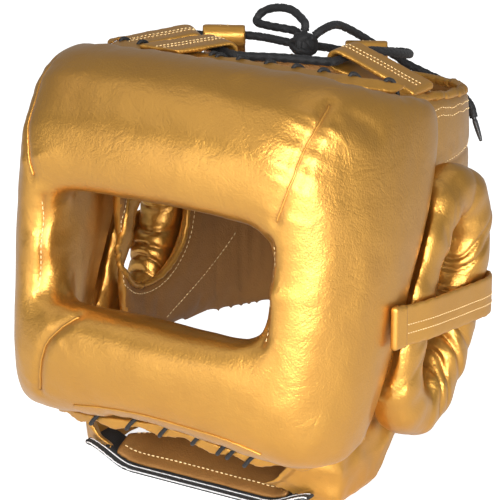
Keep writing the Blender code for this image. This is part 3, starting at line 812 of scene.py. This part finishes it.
class GUARD_OT_stage(bpy.types.Operator):
    """Floor, soft lights and the camera at the photograph's angle."""

    bl_idname = "guard.stage"
    bl_label = "Stage and camera"

    def execute(self, context):
        scene = context.scene
        bm = bmesh.new()
        bmesh.ops.create_grid(bm, x_segments=1, y_segments=1, size=6.0)
        floor = placed("floor", bm)
        material, tree, principled = shader("pale floor")
        mottle = put(tree, "ShaderNodeTexNoise", {"Vector": object_place(tree), "Scale": 3.0})
        pale = colours().floor
        darker = [0.985 * c for c in pale[:3]] + [1.0]
        tree.links.new(blend_colours(tree, mottle.outputs["Fac"], pale, darker),
                       principled.inputs["Base Color"])
        principled.inputs["Roughness"].default_value = 0.9
        seen = put(tree, "ShaderNodeLightPath").outputs["Is Camera Ray"]
        glow = reckon(tree, "MULTIPLY", seen, FLOOR_GLOW)
        tree.links.new(glow, principled.inputs["Emission Strength"])
        principled.inputs["Emission Color"].default_value = (1, 1, 1, 1)
        floor.data.materials.append(material)

        for name, spot, aim, size, power in LIGHTS:
            lamp = bpy.data.lights.new(name, "AREA")
            lamp.shape = "RECTANGLE"
            lamp.size, lamp.size_y = size
            lamp.energy = power
            holder = bpy.data.objects.new(name, lamp)
            holder.location = spot
            way = Vector(aim) - Vector(spot)
            holder.rotation_mode = "QUATERNION"
            holder.rotation_quaternion = way.to_track_quat("-Z", "Y")
            scene.collection.objects.link(holder)

        world = bpy.data.worlds.new("soft room")
        world.use_nodes = True
        world.node_tree.nodes["Background"].inputs["Color"].default_value = (1, 1, 1, 1)
        world.node_tree.nodes["Background"].inputs["Strength"].default_value = ROOM_LIGHT
        scene.world = world
        scene.view_settings.view_transform = "Standard"

        camera = bpy.data.cameras.new("photo camera")
        camera.lens = CAMERA_LENS
        camera.sensor_width = SENSOR_WIDTH
        camera.clip_start = 0.1
        holder = bpy.data.objects.new("photo camera", camera)
        holder.matrix_world = camera_place()
        scene.collection.objects.link(holder)
        scene.camera = holder
        return {"FINISHED"}


class GUARD_OT_cords(bpy.types.Operator):
    """The braided crown cord with its knot, bow, free end and tip."""

    bl_idname = "guard.cords"
    bl_label = "Crown cord"

    def execute(self, context):
        diameter = sizes().cord
        braided("crown_cord", cord_route(CROWN_CORD_ROUTE, CROWN_EXITS))
        braided("cord_bow", cord_route(BOW_ROUTE, BOW_EXITS))
        tail, line = braided("cord_tail", cord_route(TAIL_ROUTE, TAIL_EXITS))

        end = Vector(TAIL_ROUTE[-1])
        run = (end - Vector(TAIL_ROUTE[-2])).normalized()
        start = end - run * TIP_OVERLAP
        reach = AGLET_LENGTH + TIP_OVERLAP
        tip_line = [start + run * reach * share / 24 for share in range(25)]
        bm = bmesh.new()
        tube(bm, tip_line, TIP_RADIUS, 16,
             lambda along, turn: -0.0004 * math.exp(-((along - 0.003) / 0.0006) ** 2)
             - 0.0005 * (along / AGLET_LENGTH) ** 4)
        tip = add_piece("cord_tip", bm, dull_material("cord tip"), ("cord_aglet",))

        bm = bmesh.new()
        middle = Vector(KNOT_PLACE)
        bmesh.ops.create_uvsphere(bm, u_segments=24, v_segments=16, radius=KNOT_DIAMETER * 0.47,
                                  matrix=Matrix.Translation(middle))
        for tilt, lean, size in ((0.2, 0.35, 1.12), (1.25, -0.4, 1.18), (2.3, 0.9, 1.15),
                                 (0.8, 1.4, 1.10)):
            axis = Vector((math.cos(tilt), lean, math.sin(tilt))).normalized()
            side = axis.orthogonal().normalized()
            up = axis.cross(side)
            reach = (KNOT_DIAMETER - diameter) / 2 * size
            ring = [middle + (side * math.cos(a) + up * math.sin(a)) * reach
                    + axis * 0.0012 * math.sin(2 * a)
                    for a in (math.tau * step / 48 for step in range(47))]
            tube(bm, ring, diameter / 2, 20, braid(diameter))
        add_piece("knot_turns", bm, dull_material("braided cord"), ("cord_knot",))
        return {"FINISHED"}


def bumper_seams(tree):
    """Seam routes on the bumper's surface."""
    cheek = both_sides(tree, from_photo(tree, CHEEK_SEAM))
    corner = [from_photo(tree, CORNER_SEAM)]
    low, high = PILLAR_SEAM_Z
    pillar = []
    for side in (-1, 1):
        starts = [Vector((side * PILLAR_SEAM_X, -0.3, low + (high - low) * step / 15))
                  for step in range(16)]
        pillar.append(struck(tree, starts, (0, 1, 0)))
    return cheek, corner, pillar


def edge_profile(node, step, pick, axis=0):
    """One picked vertex of a CAD node in each slice of its width, or of another axis."""
    slices = {}
    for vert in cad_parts[node].data.vertices:
        key = round(vert.co[axis] / step)
        if key not in slices or pick(vert.co) > pick(slices[key]):
            slices[key] = vert.co.copy()
    return [slices[key] for key in sorted(slices)]


class GUARD_OT_bumper(bpy.types.Operator):
    """The padded ring: forehead, cheeks and face bar, with its seams and piping."""

    bl_idname = "guard.bumper"
    bl_label = "Bumper"

    def execute(self, context):
        size = sizes()
        bm = evened(merged_copy("bumper"), size.cover_step, 8)
        tree = surface(bm)
        cheek, corner, pillar = bumper_seams(tree)
        crown = edge_profile("crown_hem", 0.006, lambda spot: -spot.y)
        bar = edge_profile("bar_hem", 0.006, lambda spot: spot.z)
        hems = [snapped(tree, crown), snapped(tree, bar)]
        seams = cheek + corner + pillar
        finder, spots = route_tree(seams + hems)
        swell(bm, -0.0012)

        def held(point):
            return near_route(finder, spots, point)[0] < size.seam_width + 0.0012

        bm = puffed(bm, "bumper_puff", held, size.puff)
        bm = finer(bm)
        tree = surface(bm)
        seams = [snapped(tree, route) for route in seams]
        hems = [snapped(tree, route) for route in hems]
        creased(bm, 0.0008, 0.045, 3.0)
        creased(bm, 0.0003, 0.014, 7.0)
        sewn(bm, seams, size.seam_depth, size.seam_width, size.pucker)
        sewn(bm, hems, 0.0004, 0.004, 2.2 * size.pucker, 0.009)
        piece = add_piece("bumper_cover", bm, gold_leather(), ("bumper",))
        tree = piece_surface("bumper_cover")
        seams = [snapped(tree, route) for route in seams]
        hems = [snapped(tree, route) for route in hems]
        low = from_photo(tree, BAR_PIPING)
        piping("bumper_piping", ["bumper_cover"], seams[:3] + hems[:1] + [low])
        beside = [raised(tree, [p + Vector((0.002 if p.x > 0 else -0.002, 0, 0)) for p in route], 0)
                  for route in seams[3:]]
        sew_rows("bumper_stitches", ["bumper_cover"], beside, width=THIN_THREAD)
        return {"FINISHED"}


def unbroken(points, reach):
    """The rows that points make, where a miss or a wide step ends one."""
    routes, line = [], []
    for spot in points:
        if spot is not None and (not line or (spot - line[-1]).length < reach):
            line.append(spot)
        else:
            routes.append(line)
            line = [spot] if spot is not None else []
    return [route for route in routes + [line] if len(route) > 3]


def ways_round(steps):
    """Level ways out from the hollow's middle, all the way round."""
    turns = [math.tau * step / steps for step in range(steps + 1)]
    return [Vector((math.sin(turn), math.cos(turn), 0)) for turn in turns]


def wall_route(tree, height, outside):
    """A row round the shell's wall at a height, on its outer or inner face."""
    points = []
    for way in ways_round(140):
        level = height(way) if callable(height) else height
        start = SHELL_MIDDLE + Vector((0, 0, level))
        spot = tree.ray_cast(start + way * 0.3, -way)[0] if outside else tree.ray_cast(start, way)[0]
        good = spot is not None and (spot - start).length > 0.07
        points.append(spot if good else None)
    return unbroken(points, ROW_BREAK)


def rim_height(tree, below):
    """Height of a row at a distance below the shell's rim, as a function of direction."""
    def height(way):
        for level in range(250, 190, -2):
            start = SHELL_MIDDLE + Vector((0, 0, level / 1000)) + way * 0.3
            spot = tree.ray_cast(start, -way, 0.25)[0]
            if spot is not None:
                return level / 1000 - below
        return 0.2
    return height


def rim_routes(tree):
    """The middle of the shell's rim, where its binding lies."""
    level_of = rim_height(tree, 0.004)
    points = []
    for way in ways_round(180):
        start = SHELL_MIDDLE + Vector((0, 0, level_of(way)))
        inner = tree.ray_cast(start, way)[0]
        outer = tree.ray_cast(start + way * 0.3, -way)[0]
        spot = None
        if inner is not None and outer is not None and (outer - inner).length < 0.02:
            above = (inner + outer) / 2 + Vector((0, 0, 0.03))
            spot = tree.ray_cast(above, DOWN, 0.04)[0]
        points.append(spot)
    return unbroken(points, ROW_BREAK)


def ear_ring(tree, side, grow):
    """A ring round an ear hole, on the shell's inner face."""
    half_y, half_z = EAR_HOLE_HALF[0] + grow, EAR_HOLE_HALF[1] + grow
    starts = [EAR_HOLE_MIDDLE + Vector((0, half_y * math.cos(angle), half_z * math.sin(angle)))
              for angle in (math.tau * step / 60 for step in range(61))]
    return struck(tree, starts, (side, 0, 0))


class GUARD_OT_shell(bpy.types.Operator):
    """The padded wall round the head, with its rim, ear bindings and stitch rows."""

    bl_idname = "guard.shell"
    bl_label = "Shell"

    def execute(self, context):
        size = sizes()
        bm = evened(merged_copy("liner"), 0.0026, 4)
        tree = surface(bm)
        inner = wall_route(tree, SHELL_SEAM, False)
        outer = wall_route(tree, SHELL_SEAM, True)
        finder, spots = route_tree(inner + outer)
        swell(bm, -0.0006)

        def held(point):
            return near_route(finder, spots, point)[0] < 0.0035 or point.z > 0.236

        bm = puffed(bm, "shell_puff", held, 0.0022, 2.0)
        creased(bm, 0.0006, 0.030, 5.0)
        sewn(bm, inner + outer, 0.0010, 0.0030, 0.0005)
        piece = add_piece("shell_cover", bm, gold_leather(), ("liner",))
        # Faces turned into the shell take the darker lining as painted shade
        piece.data.materials.append(shaded_lining_leather())
        for face in piece.data.polygons:
            outward = (face.center - SHELL_MIDDLE).to_2d().normalized()
            inward = face.normal.to_2d().dot(outward) < -0.25
            face.material_index = 1 if inward else 0
        tree = piece_surface("shell_cover")
        rows = []
        for below in RIM_ROWS:
            height = rim_height(tree, below)
            rows += wall_route(tree, height, False) + wall_route(tree, height, True)
        rows += wall_route(tree, SHELL_ROWS[0], False) + wall_route(tree, SHELL_ROWS[1], False)
        rows += wall_route(tree, SHELL_ROWS[1], True)
        rings = [ear_ring(tree, side, 0.006) for side in (-1, 1)]
        panel = [spot for spot in from_photo(tree, PANEL_SEAM) if spot.x < 0]
        rings += both_sides(tree, panel)
        sew_rows("shell_stitches", ["shell_cover"], rows + rings, width=THIN_THREAD)
        piping("rim_binding", ["shell_cover"], rim_routes(tree), 0.0056)
        binding = [ear_ring(tree, side, 0.0015) for side in (-1, 1)]
        piping("ear_hole_binding", ["shell_cover"], binding, 0.0036)
        return {"FINISHED"}


def pad_polar(point):
    """Angle round the slit and share of the way to the pad's edge, seen from the side."""
    y, z = point.y - PAD_MIDDLE.y, point.z - PAD_MIDDLE.z
    along = z * math.cos(PAD_LEAN) + y * math.sin(PAD_LEAN)
    across = y * math.cos(PAD_LEAN) - z * math.sin(PAD_LEAN)
    share = math.hypot(across / PAD_HALF[0], along / PAD_HALF[1])
    return math.atan2(along / PAD_HALF[1], across / PAD_HALF[0]), share


def gathered(bm, side):
    """Folds that fan out from the slit to the rim of an ear pad, with painted shade in their
    valleys.
    """
    shade_layer = painted_shade_layer(bm)

    def rise(vert):
        angle, share = pad_polar(vert.co)
        wander = 0.9 * noise.noise(Vector((math.cos(angle) * 1.6, math.sin(angle) * 1.6, 4.0)))
        turn = PAD_FOLDS * (angle + wander) / 2
        valley = abs(math.cos(turn)) ** 9
        heavy = 0.60 + 0.40 * noise.noise(Vector((angle * 2.1, 2.0, side)))
        heavy *= 0.65 + 0.45 * math.cos(angle + 0.25)
        inner = max(0.0, 1.0 - share / 0.95) ** 0.8
        outer = max(0.0, (share - 0.86) / 0.14) * 0.35
        depth = 0.0050 * heavy * (inner + outer) * valley
        outward = 1.0 if vert.normal.x * side > -0.2 else 0.4
        ridge = 0.0009 * (1 - valley) * inner
        # Painted shade in the valleys of the gathers
        vert[shade_layer] = max(vert[shade_layer], 0.8 * valley * min(1.0, inner) * heavy)
        return ridge - depth * outward

    swell(bm, rise)


class GUARD_OT_ear_pads(bpy.types.Operator):
    """Puffed oval ear rings with gathers, and the straps across them."""

    bl_idname = "guard.ear_pads"
    bl_label = "Ear pads and straps"

    def execute(self, context):
        size = sizes()
        for side, name in ((1, "left"), (-1, "right")):
            node = "ear_pad_" + name
            bm = evened(merged_copy(node), 0.0028, 5)
            swell(bm, -0.0008)
            strap = surface(merged_copy("ear_strap_" + name))

            def held(point):
                near = strap.find_nearest(point, 0.004)[0]
                return near is not None or abs(point.x) < 0.0925

            bm = puffed(bm, node + "_puff", held, 0.0030, 3.0)
            bm = finer(bm)
            gathered(bm, side)
            creased(bm, 0.0005, 0.012, 2.0 + side)
            piece = add_piece(node + "_cover", bm, gold_leather(), (node,))

            strap_name = "ear_strap_" + name
            dressed(strap_name, 3, 0.0003, 0.016, 8.0)
            tree = piece_surface(strap_name + "_leather")
            (y_front, z_front), (y_rear, z_rear) = EAR_STRAP_LINE
            lines = []
            for lane in (-0.0045, 0.0005):
                starts = [Vector((side * 0.2, y_front + (y_rear - y_front) * share,
                                  z_front + (z_rear - z_front) * share + lane))
                          for share in (step / 59 for step in range(60))]
                lines.append(struck(tree, starts, (-side, 0, 0)))
            sew_rows(strap_name + "_stitches", [strap_name + "_leather"], lines,
                     STRAP_PITCH, THIN_THREAD)
            front = min(spot.y for line in lines for spot in line)
            bm = evened(merged_copy(strap_name), size.strap_step, 2)
            everything = bm.verts[:] + bm.edges[:] + bm.faces[:]
            cut = bmesh.ops.bisect_plane(
                bm, geom=everything, plane_co=(0, front + EAR_TAB_LENGTH, 0),
                plane_no=(0, 1, 0), clear_outer=True)
            edges = [item for item in cut["geom_cut"] if isinstance(item, bmesh.types.BMEdge)]
            bmesh.ops.holes_fill(bm, edges=edges, sides=0)
            swell(bm, 0.0009)
            add_piece(strap_name + "_tab", bm, strap_leather())
        return {"FINISHED"}


class GUARD_OT_crown_loops(bpy.types.Operator):
    """Five folded straps that hold the crown cord, each with two rows of stitches."""

    bl_idname = "guard.crown_loops"
    bl_label = "Crown loops"

    def execute(self, context):
        for number, (name, (base, tip)) in enumerate(LOOPS.items()):
            dressed(name, 3, 0.0004, 0.014, number)
            tree = piece_surface(name + "_leather")
            base, tip = Vector(base), Vector(tip)
            run = (tip - base).normalized()
            width = run.cross(Vector((0, 0, 1))).normalized()
            rows = []
            for lane in STRAP_LANES:
                line = []
                for step in range(40):
                    spot = base + (tip - base) * (step / 39 * 1.1) + width * lane
                    hit = tree.ray_cast(spot + Vector((0, 0, 0.03)), DOWN)[0]
                    if hit is not None and (not line or (hit - line[-1]).length < 0.006):
                        line.append(hit)
                rows.append(line)
            sew_rows(name + "_stitches", [name + "_leather"], rows, STRAP_PITCH, THIN_THREAD)
        return {"FINISHED"}


class GUARD_OT_hems(bpy.types.Operator):
    """Laced hems at the crown and under the face bar."""

    bl_idname = "guard.hems"
    bl_label = "Hems and lacing"

    def execute(self, context):
        size = sizes()
        for name in ("crown_hem", "bar_hem"):
            dressed(name, 2, 0.0004, 0.010, 1.0)

        bm = bmesh.new()
        tree = piece_surface("crown_hem_leather")
        rear = edge_profile("crown_hem", 0.014, lambda spot: spot.y)
        for spot in rear[1:-1]:
            hole = spot + Vector((0, -0.0042, 0.02))
            top = tree.ray_cast(hole, DOWN)[0]
            if top is None:
                continue
            line = spline_points([
                top + Vector((-0.001, 0, -0.0006)), top + Vector((0, 0.0012, 0.0012)),
                spot + Vector((0.0015, 0.0004, 0.0022)), spot + Vector((0.003, 0.0022, -0.002)),
                spot + Vector((0.004, 0.0028, -0.009))], 14)
            tube(bm, line, size.lace / 2, 10)
        tree = piece_surface("bar_hem_leather")
        for across, down in BAR_LACES:
            for side in (1, -1):
                start, way = photo_ray((across, down))
                spot = tree.ray_cast(start, way)[0]
                if spot is None or (side < 0 and spot.x > -0.02):
                    continue
                spot = Vector((side * spot.x, spot.y, spot.z))
                line = spline_points([
                    spot + Vector((0.0045, 0.001, 0.0052)), spot + Vector((0.002, -0.0016, 0.0022)),
                    spot + Vector((-0.002, -0.0014, -0.0026)),
                    spot + Vector((-0.0045, 0.003, -0.0046))], 14)
                tube(bm, line, size.lace / 2, 10)
        add_piece("hem_lacing", bm, dull_material("braided cord"), ())
        return {"FINISHED"}


class GUARD_OT_jaw(bpy.types.Operator):
    """Jaw flaps, chin strap with its white lines, and the chin pad."""

    bl_idname = "guard.jaw"
    bl_label = "Jaw flaps, chin strap and pad"

    def execute(self, context):
        for name in ("jaw_flap_left", "jaw_flap_right"):
            dressed(name, 3, 0.0012, 0.011, 6.0)
        bm = evened(merged_copy("chin_pad"), 0.0014, 4)
        creased(bm, 0.0005, 0.015, 9.0)
        # The chin pad takes the darker lining as painted shade
        pad = add_piece("chin_pad_cover", bm, shaded_lining_leather(), ("chin_pad",))
        tree = piece_surface("chin_pad_cover")
        rows = []
        for inward in (1, -1):
            edge = edge_profile("chin_pad", 0.006, lambda spot: -inward * spot.y)
            rows.append([tree.find_nearest(spot + Vector((0, 0.004 * inward, 0.01)))[0]
                         for spot in spline_points(edge[1:-1], 70)])
        sew_rows("chin_pad_stitches", ["chin_pad_cover"], rows, width=0.0008)
        bm = evened(merged_copy("chin_strap"), 0.0009, 2)
        add_piece("chin_strap_webbing", bm, dull_material("elastic webbing"), ("chin_strap",))
        tree = piece_surface("chin_strap_webbing")
        bm = bmesh.new()
        for lane in CHIN_LINES:
            starts = [Vector((CHIN_LINE_REACH * (2 * step / 139 - 1), lane, 0.05))
                      for step in range(140)]
            tube(bm, struck(tree, starts, (0, 0, -1)), CHIN_LINE_RADIUS, 8)
        add_piece("chin_strap_lines", bm, dull_material("white yarn"), ())
        return {"FINISHED"}


class GUARD_OT_closure(bpy.types.Operator):
    """Strap across the nape opening."""

    bl_idname = "guard.closure"
    bl_label = "Rear closure"

    def execute(self, context):
        bm = evened(merged_copy("rear_closure"), 0.0012, 3)
        creased(bm, 0.0003, 0.020, 4.0)
        add_piece("rear_closure_webbing", bm, dull_material("elastic webbing"), ("rear_closure",))
        return {"FINISHED"}


class GUARD_PT_pieces(bpy.types.Panel):
    """Lists the guard's pieces, sizes and colours."""

    bl_idname = "GUARD_PT_pieces"
    bl_label = "Head guard"
    bl_space_type = "VIEW_3D"
    bl_region_type = "UI"
    bl_category = "Head guard"

    def draw(self, context):
        for group in (context.scene.guard_sizes, context.scene.guard_colours):
            column = self.layout.column(align=True)
            for label in group.__annotations__:
                column.prop(group, label)
        for operator in OPERATORS:
            self.layout.operator(operator.bl_idname)


OPERATORS = (
    GUARD_OT_stage, GUARD_OT_cords, GUARD_OT_bumper, GUARD_OT_shell, GUARD_OT_ear_pads,
    GUARD_OT_crown_loops, GUARD_OT_hems, GUARD_OT_jaw, GUARD_OT_closure,
)
CLASSES = (GuardSizes, GuardColours) + OPERATORS + (GUARD_PT_pieces,)


def register():
    """Add the classes and the two groups of settings."""
    for each in CLASSES:
        bpy.utils.register_class(each)
    bpy.types.Scene.guard_sizes = PointerProperty(type=GuardSizes)
    bpy.types.Scene.guard_colours = PointerProperty(type=GuardColours)


def unregister():
    """Remove them again."""
    del bpy.types.Scene.guard_colours
    del bpy.types.Scene.guard_sizes
    for each in reversed(CLASSES):
        bpy.utils.unregister_class(each)


def main():
    """Make every piece in order."""
    register()
    bpy.ops.guard.stage()
    bpy.ops.guard.cords()
    bpy.ops.guard.bumper()
    bpy.ops.guard.shell()
    bpy.ops.guard.ear_pads()
    bpy.ops.guard.crown_loops()
    bpy.ops.guard.hems()
    bpy.ops.guard.jaw()
    bpy.ops.guard.closure()


if __name__ == "__main__":
    main()
